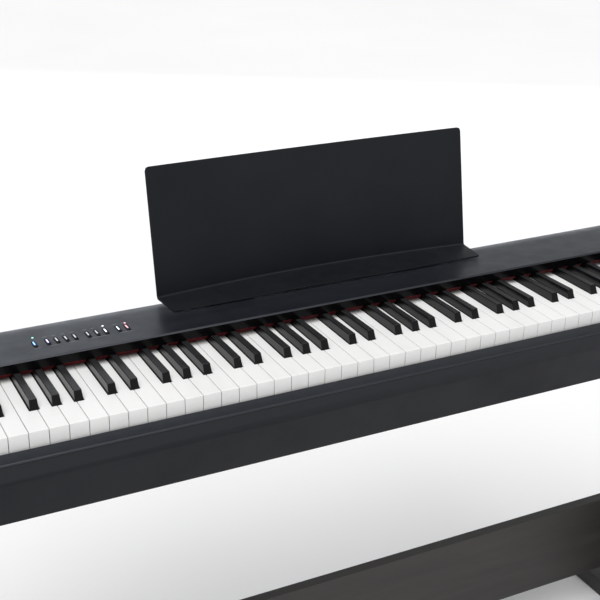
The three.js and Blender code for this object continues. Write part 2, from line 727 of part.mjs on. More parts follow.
function stopFelt() {
  const depth = [CHASSIS_FRONT, CHASSIS_FRONT + STOP_RAIL_DEPTH];
  const height = [STOP_FELT_TOP - STOP_FELT_THICK, STOP_FELT_TOP];
  return box([-CHASSIS_HALF, CHASSIS_HALF], depth, height);
}

function contactBoard() {
  const bottom = CHASSIS_TOP + SEAT_GAP;
  const depth = [CONTACT_Y, CONTACT_Y + CONTACT_DEPTH];
  return box([-CHASSIS_HALF, CHASSIS_HALF], depth, [bottom, bottom + BOARD_THICK]);
}

function contactRubber() {
  const bottom = CHASSIS_TOP + 2 * SEAT_GAP + BOARD_THICK;
  const top = bottom + 9;
  const [front, back] = [CONTACT_Y + 10, CONTACT_Y + CONTACT_DEPTH - 10];
  const outline = [[front, bottom], [back, bottom], [back - 8, top], [front + 8, top]];
  return prismX(outline, [-CHASSIS_HALF, CHASSIS_HALF]);
}

function mainBoard() {
  const top = CASE_FLOOR + 12;
  const standoffs = [[-140, 70], [140, 70], [-140, 180], [140, 180]].map(([x, y]) => (
    prismZ(circle([x, y], 4, 8), [CHASSIS_FOOT, top - BOARD_THICK / 2])
  ));
  const board = box([-150, 150], [60, 190], [top - BOARD_THICK, top]);
  const chips = [[-70, 110, 18], [20, 140, 24], [95, 95, 12]].map(([x, y, half]) => (
    box([x - half, x + half], [y - half, y + half], [top - BOARD_THICK / 2, top + 3])
  ));
  return join([board, ...standoffs, ...chips]);
}

function speaker(side) {
  const profile = [
    [0, 0],
    [SPEAKER_RADIUS, 0],
    [SPEAKER_RADIUS, SPEAKER_HEIGHT * 0.1],
    [SPEAKER_RADIUS * 0.5, SPEAKER_HEIGHT * 0.65],
    [SPEAKER_RADIUS * 0.45, SPEAKER_HEIGHT],
    [0, SPEAKER_HEIGHT],
  ].map(([r, z]) => new THREE.Vector2(r, z));
  const geometry = new THREE.LatheGeometry(profile, 20);
  geometry.rotateX(Math.PI / 2).scale(1, SPEAKER_OVAL, 1);
  return solidOf(geometry.translate(side * SPEAKER_X, SPEAKER_Y, CHASSIS_FOOT));
}

// ---- Sockets ---------------------------------------------------------------------------------
function roundSocket(x, z, [y0, y1]) {
  return prismY(circle([x, z], SOCKET_RADIUS, 12), [y0, y1]);
}

function jackPanel() {
  const back = CASE_BACK - CASE_WALL - SEAT_GAP;
  const plate = box(
    [JACKS_X - JACKS_WIDTH / 2 - JACKS_LAP, JACKS_X + JACKS_WIDTH / 2 + JACKS_LAP],
    [back - CASE_WALL, back],
    [JACKS_Z - JACKS_HEIGHT / 2 - JACKS_LAP, JACKS_Z + JACKS_HEIGHT / 2 + JACKS_LAP],
  );
  const housings = [-JACKS_PITCH, 0, JACKS_PITCH].map((x) => (
    box(
      [JACKS_X + x - DATA_WIDTH, JACKS_X + x + DATA_WIDTH],
      [back - SOCKET_DEPTH - SOCKET_WALL, back - 1],
      [JACKS_Z - DATA_HEIGHT, JACKS_Z + DATA_HEIGHT],
    )
  ));
  const mouth = [back - SOCKET_DEPTH, back + 1];
  const sockets = [
    roundSocket(JACKS_X - JACKS_PITCH, JACKS_Z, mouth),
    roundSocket(JACKS_X, JACKS_Z, mouth),
    box(
      [JACKS_X + JACKS_PITCH - DATA_WIDTH / 2, JACKS_X + JACKS_PITCH + DATA_WIDTH / 2],
      mouth,
      [JACKS_Z - DATA_HEIGHT / 2, JACKS_Z + DATA_HEIGHT / 2],
    ),
  ];
  return cut(join([plate, ...housings]), sockets);
}

function headphoneBlock() {
  const front = CASE_FRONT + CASE_WALL + SEAT_GAP;
  const block = box(
    [PHONES_X - PHONES_PITCH - SOCKET_WALL, PHONES_X + PHONES_PITCH + SOCKET_WALL],
    [front, front + SOCKET_DEPTH + SOCKET_WALL],
    [PHONES_Z - PHONES_PITCH / 2 - SOCKET_WALL, PHONES_Z + PHONES_PITCH / 2 + SOCKET_WALL],
  );
  const sockets = [-0.5, 0.5].map((share) => (
    roundSocket(PHONES_X + share * PHONES_PITCH, PHONES_Z, [front - 1, front + SOCKET_DEPTH])
  ));
  return cut(block, sockets);
}

// ---- Stand -------------------------------------------------------------------------------------
function mirrored(side, x0, x1) {
  return [x0 * side, x1 * side].sort((a, b) => a - b);
}

function bracketTop() {
  return STAND_HEIGHT - SEAT_GAP;
}

function standSide(side) {
  const bottom = FOOT_HEIGHT + SEAT_GAP;
  const top = bracketTop() - BRACKET_SHEET - SEAT_GAP;
  const half = SIDE_DEPTH / 2;
  const outline = [
    [-half + SIDE_TAPER, bottom],
    [half - SIDE_TAPER, bottom],
    [half, top],
    [-half, top],
  ];
  return prismX(outline, mirrored(side, SIDE_INNER_X, SIDE_OUTER_X));
}

function standFoot(side) {
  const half = FOOT_LENGTH / 2;
  const middle = (SIDE_INNER_X + SIDE_OUTER_X) / 2;
  const outline = [
    [-half, 0],
    [half, 0],
    [half, FOOT_HEIGHT - FOOT_CHAMFER],
    [half - FOOT_CHAMFER, FOOT_HEIGHT],
    [-half + FOOT_CHAMFER, FOOT_HEIGHT],
    [-half, FOOT_HEIGHT - FOOT_CHAMFER],
  ];
  return prismX(outline, mirrored(side, middle - FOOT_WIDTH / 2, middle + FOOT_WIDTH / 2));
}

function standBackBoard() {
  const half = SIDE_INNER_X - SEAT_GAP;
  return box(
    [-half, half],
    [BACK_BOARD_Y, BACK_BOARD_Y + BACK_BOARD_THICK],
    [BACK_BOARD_BOTTOM, BACK_BOARD_BOTTOM + BACK_BOARD_HEIGHT],
  );
}

function standBracket(side) {
  const top = bracketTop();
  const under = top - BRACKET_SHEET;
  const flangeOuter = SIDE_INNER_X - SEAT_GAP;
  const outline = [
    [BRACKET_INNER_X, under],
    [flangeOuter - BRACKET_SHEET, under],
    [flangeOuter - BRACKET_SHEET, under - BRACKET_FLANGE],
    [flangeOuter, under - BRACKET_FLANGE],
    [flangeOuter, under],
    [BRACKET_OUTER_X, under],
    [BRACKET_OUTER_X, top],
    [BRACKET_INNER_X, top],
  ];
  const turned = side > 0 ? outline : outline.map(([x, z]) => [-x, z]).reverse();
  const rail = prismY(turned, [-BRACKET_DEPTH / 2, BRACKET_DEPTH / 2]);
  return cut(rail, screwHoles(0, [under - 1, top + 1]));
}

function thumbScrew([x, y]) {
  const headTop = bracketTop() - BRACKET_SHEET - SEAT_GAP;
  const head = prismZ(circle([x, y], SCREW_HEAD_RADIUS, 16), [headTop - SCREW_HEAD_HEIGHT, headTop]);
  const shank = prismZ(circle([x, y], SCREW_RADIUS, 12), [headTop - 1, headTop + SCREW_REACH]);
  return join([head, shank]);
}

// ---- Scene ---------------------------------------------------------------------------------------
const instrument = new THREE.Group();
instrument.position.set(0, -CASE_MIDDLE, KEY_TOP_HEIGHT);
instrument.add(
  mesh('bottom_case', bottomCase(), CASE_BLACK),
  mesh('top_panel', topPanel(), PANEL_BLACK),
  mesh('keyslip', keyslip(), CASE_BLACK),
  mesh('cheek_block_left', cheekBlock(-1), CASE_BLACK),
  mesh('cheek_block_right', cheekBlock(1), CASE_BLACK),
  mesh('key_felt', keyFelt(), RED_FELT),
  mesh('key_chassis', keyChassis(), STEEL),
  mesh('key_stop_felt', stopFelt(), RED_FELT),
  mesh('contact_board', contactBoard(), GREEN_BOARD),
  mesh('contact_rubber', contactRubber(), BLACK_RUBBER),
  mesh('panel_board', panelBoard(), GREEN_BOARD),
  mesh('main_board', mainBoard(), GREEN_BOARD),
  mesh('speaker_left', speaker(-1), STEEL),
  mesh('speaker_right', speaker(1), STEEL),
  mesh('jack_panel', jackPanel(), BLACK_RUBBER),
  mesh('headphone_block', headphoneBlock(), BLACK_RUBBER),
  mesh('music_rest', musicRest(), REST_BLACK),
  powerButton(),
  ...pillButtons(),
  ...keySections(),
  ...middleOctave(),
);

const stand = new THREE.Group();
stand.add(
  mesh('stand_side_left', standSide(-1), STAND_BLACK),
  mesh('stand_side_right', standSide(1), STAND_BLACK),
  mesh('stand_foot_left', standFoot(-1), STAND_BLACK),
  mesh('stand_foot_right', standFoot(1), STAND_BLACK),
  mesh('stand_back_board', standBackBoard(), STAND_BLACK),
  mesh('stand_bracket_left', standBracket(-1), STEEL),
  mesh('stand_bracket_right', standBracket(1), STEEL),
  ...screwPlaces().map((place, i) => mesh(`thumb_screw_${i + 1}`, thumbScrew(place), BLACK_RUBBER)),
);

const piano = new THREE.Group();
piano.add(instrument, stand);

export default piano;
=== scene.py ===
# %% [markdown]
# # A digital piano on its board stand
#
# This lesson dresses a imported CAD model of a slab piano. The frame gives every
# solid its place, in metres: +X is the player's right, +Y points away from the
# player, +Z is up, and the floor is at zero. Each cell makes one piece or one
# finish, and says why it is made that way.

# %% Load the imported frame
import math
from contextlib import contextmanager

import bmesh
import bpy
from mathutils import Matrix, Vector


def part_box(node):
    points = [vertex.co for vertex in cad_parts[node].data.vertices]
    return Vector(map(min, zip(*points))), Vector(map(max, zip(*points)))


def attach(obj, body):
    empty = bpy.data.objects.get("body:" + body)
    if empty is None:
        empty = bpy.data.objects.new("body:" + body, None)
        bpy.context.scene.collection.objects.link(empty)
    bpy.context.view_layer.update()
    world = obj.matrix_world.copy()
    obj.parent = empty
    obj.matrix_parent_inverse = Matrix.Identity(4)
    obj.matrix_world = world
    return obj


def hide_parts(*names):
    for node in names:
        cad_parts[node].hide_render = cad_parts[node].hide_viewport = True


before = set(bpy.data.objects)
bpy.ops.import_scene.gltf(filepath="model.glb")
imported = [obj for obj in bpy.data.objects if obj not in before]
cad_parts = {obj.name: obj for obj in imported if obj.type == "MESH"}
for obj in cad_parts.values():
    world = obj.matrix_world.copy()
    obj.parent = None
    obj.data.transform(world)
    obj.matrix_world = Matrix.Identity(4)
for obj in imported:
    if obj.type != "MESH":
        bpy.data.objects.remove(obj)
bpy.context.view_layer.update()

# %% [markdown]
# ## Working in edit mode from code
#
# Operators act on whatever is selected, and loading the frame leaves its nodes
# selected. So every step first makes one piece the only selected one. Faces and
# edges are then picked by a test on their place or direction, which is what the
# hand does with a box select, and which gives the same result each run.

# %% Helpers for picking and editing
MM = 0.001


def only(piece):
    bpy.ops.object.select_all(action="DESELECT")
    piece.select_set(True)
    bpy.context.view_layer.objects.active = piece
    return piece


@contextmanager
def editing(piece, kind="FACE"):
    only(piece)
    bpy.ops.object.mode_set(mode="EDIT")
    bpy.ops.mesh.select_mode(type=kind)
    bpy.ops.mesh.select_all(action="SELECT")
    yield piece
    bpy.ops.object.mode_set(mode="OBJECT")


def pick_faces(piece, test):
    """Selects the faces whose middle and normal pass the test."""
    bpy.ops.mesh.select_all(action="DESELECT")
    cage = bmesh.from_edit_mesh(piece.data)
    for face in cage.faces:
        face.select_set(bool(test(face.calc_center_median(), face.normal)))
    bmesh.update_edit_mesh(piece.data)


def pick_points(piece, test):
    """Selects the vertices whose place passes the test."""
    bpy.ops.mesh.select_all(action="DESELECT")
    cage = bmesh.from_edit_mesh(piece.data)
    for point in cage.verts:
        point.select_set(bool(test(point.co)))
    cage.select_flush(True)
    bmesh.update_edit_mesh(piece.data)


def pick_edges(piece, test):
    """Selects the edges for which the test of the edge passes."""
    bpy.ops.mesh.select_all(action="DESELECT")
    cage = bmesh.from_edit_mesh(piece.data)
    for edge in cage.edges:
        edge.select_set(bool(test(edge)))
    bmesh.update_edit_mesh(piece.data)


def extrude(vector):
    bpy.ops.mesh.extrude_region_move(TRANSFORM_OT_translate={"value": vector})


def settle(piece):
    """Puts the piece's place, turn and size into its mesh."""
    only(piece)
    bpy.ops.object.transform_apply(location=True, rotation=True, scale=True)
    return piece


def smooth(piece, degrees=32):
    only(piece)
    bpy.ops.object.shade_smooth_by_angle(angle=math.radians(degrees))
    return piece


def even_shading(piece):
    """Lets large flat faces set the normals, so that they stay flat to their edge."""
    only(piece)
    weighted = piece.modifiers.new("flat faces first", "WEIGHTED_NORMAL")
    weighted.keep_sharp, weighted.weight = True, 100
    bpy.ops.object.modifier_apply(modifier=weighted.name)
    return piece


def round_edges(piece, width, segments=3, degrees=30):
    """Breaks the sharp edges with a Bevel modifier, which is then applied."""
    only(piece)
    bevel = piece.modifiers.new("broken edges", "BEVEL")
    bevel.width, bevel.segments = width, segments
    bevel.limit_method, bevel.angle_limit = "ANGLE", math.radians(degrees)
    bevel.use_clamp_overlap = True
    bevel.miter_outer = "MITER_ARC"
    bpy.ops.object.modifier_apply(modifier=bevel.name)
    return even_shading(smooth(piece))


def copy_of(piece, name, shift):
    """A copy with its own mesh, moved, with its place in the mesh."""
    only(piece)
    bpy.ops.object.duplicate(linked=False)
    copy = bpy.context.view_layer.objects.active
    copy.name = copy.data.name = name
    bpy.ops.transform.translate(value=shift)
    return settle(copy)


def fix(piece, body, material, slot, *stands_for):
    """Gives a piece its finish, its body and the nodes that it stands for."""
    if material is not None:
        piece.data.materials.clear()
        piece.data.materials.append(material)
    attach(piece, body)
    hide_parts(*stands_for)
    return piece


# %% [markdown]
# ## Measures that place everything
#
# The keyboard has its own zero: the middle of the keys, the front edge of the
# white keys and their top. The rest of the sizes follow from the frame's nodes,
# and a few driving numbers repeat what the CAD source says about the keys.

# %% Keyboard zero and driving sizes
middle_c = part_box("key_C4")
KEY_FRONT, KEY_TOP = middle_c[0].y, middle_c[1].z
NATURAL_COUNT = 52
NATURAL_PITCH = 23.5 * MM
NATURAL_LENGTH = middle_c[1].y - KEY_FRONT
NATURAL_HEAD = 49 * MM
NATURAL_THICK = 14 * MM
NATURAL_DROP = KEY_TOP - middle_c[0].z
NATURAL_LIP = 4 * MM
KEY_GAP = 0.8 * MM
SHARP_BASE = 11 * MM
SHARP_SLOT = SHARP_BASE / 2 + 1 * MM
SHARP_SHIFT = {"A": 3.36, "C": -2.35, "D": 2.35, "F": -3.36, "G": 0}
LEFT_END = -NATURAL_COUNT / 2 * NATURAL_PITCH


def at(x, y, z):
    """Millimetres from the keyboard's zero, as a point of the frame."""
    return Vector((x * MM, KEY_FRONT + y * MM, KEY_TOP + z * MM))


print(f"keyboard zero: y {KEY_FRONT:.3f}, z {KEY_TOP:.3f}")

# %% [markdown]
# ## Finishes
#
# Moulded plastic, paint and felt all look different for the same few reasons:
# a colour that wanders a little over the piece, a fine grain that breaks up the
# reflection, and edges that hands have polished. One recipe makes these layers
# from noise in Object coordinates, and each finish below sets its own numbers.
# Values that are the same all over go straight on the shader.

# %% The layered finish recipe
NOISE_ROUGHNESS = 0.55


def noise_of(tree, scale, detail=3.0, stretch=(1, 1, 1)):
    """Noise fixed to the piece; a higher scale makes a finer pattern."""
    nodes, links = tree.nodes, tree.links
    place = nodes.new("ShaderNodeTexCoord")
    mapping = nodes.new("ShaderNodeMapping")
    mapping.inputs["Scale"].default_value = stretch
    noise = nodes.new("ShaderNodeTexNoise")
    noise.inputs["Scale"].default_value = scale
    noise.inputs["Detail"].default_value = detail
    noise.inputs["Roughness"].default_value = NOISE_ROUGHNESS
    links.new(place.outputs["Object"], mapping.inputs["Vector"])
    links.new(mapping.outputs["Vector"], noise.inputs["Vector"])
    return noise.outputs["Fac"]


def remap(tree, value, low, high, to_low, to_high):
    node = tree.nodes.new("ShaderNodeMapRange")
    node.inputs["From Min"].default_value = low
    node.inputs["From Max"].default_value = high
    node.inputs["To Min"].default_value = to_low
    node.inputs["To Max"].default_value = to_high
    tree.links.new(value, node.inputs["Value"])
    return node.outputs["Result"]


def blend_colours(tree, factor, first, second):
    """Mixes two colours, each a colour or the output of another node."""
    node = tree.nodes.new("ShaderNodeMix")
    node.data_type = "RGBA"
    tree.links.new(factor, node.inputs["Factor"])
    for socket, colour in (("A", first), ("B", second)):
        target = next(s for s in node.inputs if s.name == socket and s.type == "RGBA")
        if isinstance(colour, tuple):
            target.default_value = (*colour, 1)
        else:
            tree.links.new(colour, target)
    return next(s for s in node.outputs if s.type == "RGBA")


def bump_from(tree, height, strength, distance):
    node = tree.nodes.new("ShaderNodeBump")
    node.inputs["Strength"].default_value = strength
    node.inputs["Distance"].default_value = distance
    tree.links.new(height, node.inputs["Height"])
    return node.outputs["Normal"]


def finish_named(name, dark, light, rough, mottle=18, grain=1600, bump=0.15,
                 depth=0.1 * MM, speckle=0.0, worn=None, stretch=(1, 1, 1), **uniform):
    """Colour that wanders from dark to light, fine grain, and worn edges."""
    material = bpy.data.materials.new(name)
    material.use_nodes = True
    tree = material.node_tree
    shader = tree.nodes["Principled BSDF"]
    for socket, value in uniform.items():
        shader.inputs[socket.replace("_", " ")].default_value = value
    wander = remap(tree, noise_of(tree, mottle, stretch=stretch), 0.3, 0.7, 0, 1)
    colour = blend_colours(tree, wander, dark, light)
    fine = noise_of(tree, grain, detail=2.0, stretch=stretch)
    if speckle:
        dots = remap(tree, fine, 0.56, 0.74, 0, speckle)
        colour = blend_colours(tree, dots, colour, tuple(min(1, 3 * c + 0.02) for c in light))
    if worn is not None:
        edge = tree.nodes.new("ShaderNodeNewGeometry").outputs["Pointiness"]
        rub = remap(tree, edge, 0.53, 0.62, 0, 0.6)
        colour = blend_colours(tree, rub, colour, worn)
    tree.links.new(colour, shader.inputs["Base Color"])
    smudge = noise_of(tree, mottle * 4, detail=4.0, stretch=stretch)
    tree.links.new(remap(tree, smudge, 0.3, 0.7, *rough), shader.inputs["Roughness"])
    tree.links.new(bump_from(tree, fine, bump, depth), shader.inputs["Normal"])
    return material


# %% [markdown]
# White keys are moulded in a warm white with a faint ivory-like grain, so their
# tops show a soft sheen and no mirror. Black keys are polished on their sides
# and front, and have a dry ebony-like grain on top. The top finish also has a
# lighter base colour than the sides, a painted sheen for the grey that the tops
# show in the light.

# %% Key finishes
white_key = finish_named(
    "natural_key_plastic", (0.87, 0.88, 0.865), (0.92, 0.925, 0.91), (0.34, 0.44),
    mottle=25, grain=2600, bump=0.05, stretch=(1, 0.25, 1), IOR=1.48)
black_key = finish_named(
    "sharp_key_gloss", (0.0024, 0.0026, 0.0028), (0.0042, 0.0045, 0.0048), (0.16, 0.24),
    mottle=40, grain=1500, bump=0.08, worn=(0.03, 0.03, 0.032), Specular_IOR_Level=0.35)
# Grained top of the black keys; its lighter colour is a painted sheen.
black_key_top_painted_sheen = finish_named(
    "sharp_key_ebony_grain_painted_sheen", (0.008, 0.0085, 0.009), (0.020, 0.021, 0.022), (0.32, 0.48),
    mottle=220, grain=1500, bump=0.45, speckle=0.25, worn=(0.06, 0.06, 0.063), stretch=(1, 0.12, 1))

# %% [markdown]
# The case is moulded and painted: a fine dry texture on the panel, a slightly
# smoother front, and a glossy strip above the keys that mirrors them. The rest
# is a painted steel sheet with a finer texture.

# %% Case finishes
panel_paint = finish_named(
    "panel_satin_paint", (0.0062, 0.0074, 0.0110), (0.0095, 0.0108, 0.0150), (0.34, 0.44),
    mottle=9, grain=1900, bump=0.30, speckle=0.12, worn=(0.035, 0.036, 0.040),
    Specular_IOR_Level=0.42, Specular_Tint=(0.86, 0.91, 1.0, 1))
case_paint = finish_named(
    "case_satin_paint", (0.0048, 0.0056, 0.0076), (0.0074, 0.0084, 0.0108), (0.36, 0.46),
    mottle=7, grain=1900, bump=0.28, speckle=0.10, worn=(0.035, 0.036, 0.040),
    Specular_IOR_Level=0.12, Specular_Tint=(0.88, 0.93, 1.0, 1))
face_gloss = finish_named(
    "face_gloss_lacquer", (0.0016, 0.0013, 0.0018), (0.0026, 0.0022, 0.0029), (0.16, 0.24),
    mottle=12, grain=900, bump=0.02, Specular_IOR_Level=0.12)
rest_paint = finish_named(
    "rest_powder_coat", (0.0056, 0.0062, 0.0082), (0.0088, 0.0096, 0.0120), (0.42, 0.54),
    mottle=11, grain=1700, bump=0.30, speckle=0.10, worn=(0.05, 0.05, 0.055),
    Specular_IOR_Level=0.28, Specular_Tint=(0.88, 0.93, 1.0, 1))
button_plastic = finish_named(
    "button_black_plastic", (0.0015, 0.0015, 0.002), (0.003, 0.003, 0.004), (0.45, 0.55),
    mottle=150, grain=2400, bump=0.10, worn=(0.012, 0.012, 0.014), Specular_IOR_Level=0.08)
socket_plastic = finish_named(
    "socket_black_plastic", (0.006, 0.006, 0.007), (0.012, 0.012, 0.013), (0.40, 0.52),
    mottle=60, grain=2000, bump=0.20, worn=(0.05, 0.05, 0.05))
print("finishes of the keys and the case are ready")

# %% [markdown]
# The stand is chipboard under a black printed foil. Its faint wood figure runs
# the long way of each board, so the noise is stretched along one axis. The
# brackets and screws are steel: one powder coated, the other zinc plated.

# %% Stand and metal finishes
def laminated(name, stretch):
    return finish_named(
        name, (0.009, 0.009, 0.010), (0.022, 0.021, 0.020), (0.42, 0.56),
        mottle=55, grain=420, bump=0.25, depth=0.15 * MM, speckle=0.05,
        worn=(0.10, 0.085, 0.07), stretch=stretch)


upright_foil = laminated("stand_foil_upright", (1, 1, 0.08))
lengthwise_foil = laminated("stand_foil_lengthwise", (0.08, 1, 1))
foot_foil = laminated("stand_foil_foot", (1, 0.08, 1))
bracket_coat = finish_named(
    "bracket_powder_coat", (0.013, 0.013, 0.014), (0.024, 0.024, 0.026), (0.42, 0.55),
    mottle=30, grain=1300, bump=0.45, speckle=0.10, worn=(0.20, 0.20, 0.21))
zinc = finish_named(
    "zinc_plated_steel", (0.42, 0.43, 0.45), (0.60, 0.61, 0.62), (0.26, 0.42),
    mottle=90, grain=1500, bump=0.12, worn=(0.75, 0.75, 0.76), Metallic=1.0)
chassis_steel = finish_named(
    "folded_sheet_steel", (0.34, 0.35, 0.37), (0.50, 0.51, 0.53), (0.30, 0.48),
    mottle=14, grain=900, bump=0.10, stretch=(0.1, 1, 1), Metallic=1.0)
circuit_green = finish_named(
    "circuit_board_lacquer", (0.008, 0.055, 0.020), (0.016, 0.100, 0.036), (0.28, 0.45),
    mottle=210, grain=700, bump=0.10, speckle=0.35, Coat_Weight=0.3, Coat_Roughness=0.2)
contact_rubber = finish_named(
    "contact_rubber", (0.010, 0.010, 0.010), (0.022, 0.022, 0.022), (0.70, 0.88),
    mottle=70, grain=1300, bump=0.30)
speaker_cloth = finish_named(
    "speaker_paper", (0.012, 0.012, 0.013), (0.030, 0.030, 0.031), (0.75, 0.92),
    mottle=120, grain=1100, bump=0.60, depth=0.25 * MM)

# %% [markdown]
# Felt is matted wool. It has no gloss at all: the colour is mottled, fibres
# stand up from it, and they catch light at the rim, which sheen imitates. Two
# layers of bump, lumps and fibres, carry the surface between the real tufts.

# %% Wool felt
def wool(name, deep, bright):
    return finish_named(
        name, deep, bright, (0.92, 1.0), mottle=320, grain=1500, bump=0.8, depth=0.4 * MM,
        stretch=(0.35, 1, 1), Sheen_Weight=0.5, Sheen_Roughness=0.6, Specular_IOR_Level=0.15)


red_wool = wool("red_wool_felt", (0.120, 0.006, 0.010), (0.300, 0.018, 0.026))
green_wool = wool("stop_rail_felt", (0.060, 0.050, 0.042), (0.130, 0.110, 0.095))


# %% [markdown]
# A lamp is a small lens with light behind it: the colour is brightest in the
# middle. A soft noise on the emission keeps it from looking like a sticker.
# The dim grey glow is no lamp: it is a painted highlight on the windows of the
# buttons that are off, and on the ring of the power button.

# %% Lamp, painted glow and print finishes
def lit(name, colour, strength):
    material = bpy.data.materials.new(name)
    material.use_nodes = True
    tree = material.node_tree
    shader = tree.nodes["Principled BSDF"]
    glow = remap(tree, noise_of(tree, 500), 0.3, 0.7, 0, 1)
    pale = tuple(c + (1 - c) * 0.35 for c in colour)
    mixed = blend_colours(tree, glow, colour, pale)
    tree.links.new(mixed, shader.inputs["Emission Color"])
    tree.links.new(mixed, shader.inputs["Base Color"])
    tree.links.new(remap(tree, noise_of(tree, 900), 0.3, 0.7, 0.2, 0.35), shader.inputs["Roughness"])
    shader.inputs["Emission Strength"].default_value = strength
    return material


lamp_blue = lit("lamp_blue", (0.01, 0.28, 0.95), 1.5)
lamp_white = lit("lamp_white", (0.80, 0.85, 1.0), 1.0)
# Painted highlight: a dim grey glow for the windows of the buttons that are off and the power ring.
painted_glow_grey = lit("painted_glow_dim", (0.34, 0.36, 0.42), 0.55)
lamp_violet = lit("lamp_violet", (0.56, 0.55, 1.0), 1.0)
lamp_red = lit("lamp_red", (0.85, 0.30, 0.36), 0.8)
lamp_green = lit("lamp_green", (0.25, 0.75, 0.62), 1.1)
print_ink = finish_named(
    "panel_print_ink", (0.16, 0.16, 0.18), (0.24, 0.24, 0.27), (0.5, 0.6),
    mottle=400, grain=2600, bump=0.1)
print(f"{len(bpy.data.materials)} materials so far, the packed ones among them")

# %% [markdown]
# ## White keys
#
# A white key is a long box with a notch on one or both sides, where the black
# keys drop in, and a lip that hides the front. It could be cut with booleans.
# Here a flat outline is split by bisect lines, the notch faces are deleted, and
# Solidify gives the thickness, so the mesh stays clean quads that bevel well.
# Thirteen shapes make all 52, so each is modelled once and copied.

# %% Notches of the white keys
SECTIONS = {"A0_B1": (0, 8), "C2_B3": (9, 22), "C5_B6": (30, 43), "C7_C8": (44, 51)}


def letter_of(index):
    return "ABCDEFG"[index % 7]


def natural_left(index):
    return LEFT_END + index * NATURAL_PITCH


def sharp_centre(index):
    """The middle of the black key above white key `index`, or None."""
    shift = SHARP_SHIFT.get(letter_of(index))
    inside = 0 <= index < NATURAL_COUNT - 1
    return natural_left(index + 1) + shift * MM if inside and shift is not None else None


def body_of_key(index, kind):
    for label, (first, last) in SECTIONS.items():
        if first <= index <= last:
            return f"{kind}s_{label}"
    return f"key_{letter_of(index)}4" + ("_sharp" if kind == "sharp" else "")


def notches(index):
    """How far each side of the tail is cut back, to a tenth of a millimetre."""
    left, right = natural_left(index) + KEY_GAP / 2, natural_left(index + 1) - KEY_GAP / 2
    before, after = sharp_centre(index - 1) if index else None, sharp_centre(index)
    cut_left = 0 if before is None else before + SHARP_SLOT - left
    cut_right = 0 if after is None else right - (after - SHARP_SLOT)
    return round(cut_left / MM, 1), round(cut_right / MM, 1)


# %% Model a white key from its outline
def natural_outline(left, right, cut_left, cut_right):
    width = right - left
    middle = Vector(((left + right) / 2, KEY_FRONT + NATURAL_LENGTH / 2, KEY_TOP))
    bpy.ops.mesh.primitive_plane_add(size=1, location=middle)
    key = bpy.context.active_object
    key.scale = (width, NATURAL_LENGTH, 1)
    settle(key)
    notch_y = KEY_FRONT + NATURAL_HEAD
    lines = [((0, notch_y, 0), (0, 1, 0)), ((0, KEY_FRONT + NATURAL_LIP, 0), (0, 1, 0))]
    if cut_left:
        lines.append(((left + cut_left, 0, 0), (1, 0, 0)))
    if cut_right:
        lines.append(((right - cut_right, 0, 0), (1, 0, 0)))
    with editing(key):
        for place, direction in lines:
            bpy.ops.mesh.select_all(action="SELECT")
            bpy.ops.mesh.bisect(plane_co=place, plane_no=direction)
        pick_faces(key, lambda c, n: c.y > notch_y and (
            (cut_left and c.x < left + cut_left) or (cut_right and c.x > right - cut_right)))
        bpy.ops.mesh.delete(type="FACE")
    return key


def model_natural(left, right, cut_left, cut_right):
    key = natural_outline(left, right, cut_left, cut_right)
    body = key.modifiers.new("thickness", "SOLIDIFY")
    body.thickness, body.offset = NATURAL_THICK, -1
    bpy.ops.object.modifier_apply(modifier=body.name)
    with editing(key):
        pick_faces(key, lambda c, n: n.z < -0.9 and c.y < KEY_FRONT + NATURAL_LIP)
        extrude((0, 0, NATURAL_THICK - NATURAL_DROP))
    return round_edges(key, 0.6 * MM)


# %% Make all the white keys
natural_models = {}
naturals = []
for index in range(NATURAL_COUNT):
    cuts = notches(index)
    left, right = natural_left(index) + KEY_GAP / 2, natural_left(index + 1) - KEY_GAP / 2
    name = f"natural_{letter_of(index)}{(index + 5) // 7}"
    if cuts in natural_models:
        model, made_at = natural_models[cuts]
        key = copy_of(model, name, (left - made_at, 0, 0))
    else:
        key = model_natural(left, right, cuts[0] * MM, cuts[1] * MM)
        key.name = key.data.name = name
        natural_models[cuts] = (key, left)
    naturals.append(key)
for index, key in enumerate(naturals):
    body = body_of_key(index, "natural")
    fix(key, body, white_key, "key_white", body)
print(f"{len(naturals)} white keys from {len(natural_models)} shapes,"
      f" {len(naturals[0].data.polygons)} faces in the first")

# %% [markdown]
# ## Black keys
#
# A black key is a tapered bar with a sloped front and a lower tail under the
# panel. A box is bisected at the tail's height, the top is narrowed and its
# front pulled back, and the tail is extruded out of the lower back face.

# %% Model one black key
SHARP_FRONT, SHARP_BACK, SHARP_TAIL = 50, 141.5, 195
SHARP_TOP, SHARP_BACK_TOP, TAIL_TOP, SHARP_BOTTOM = 12, 10, -1.5, -12
SHARP_SLOPE, SHARP_TAPER = 5, (11 - 1.5) / 11


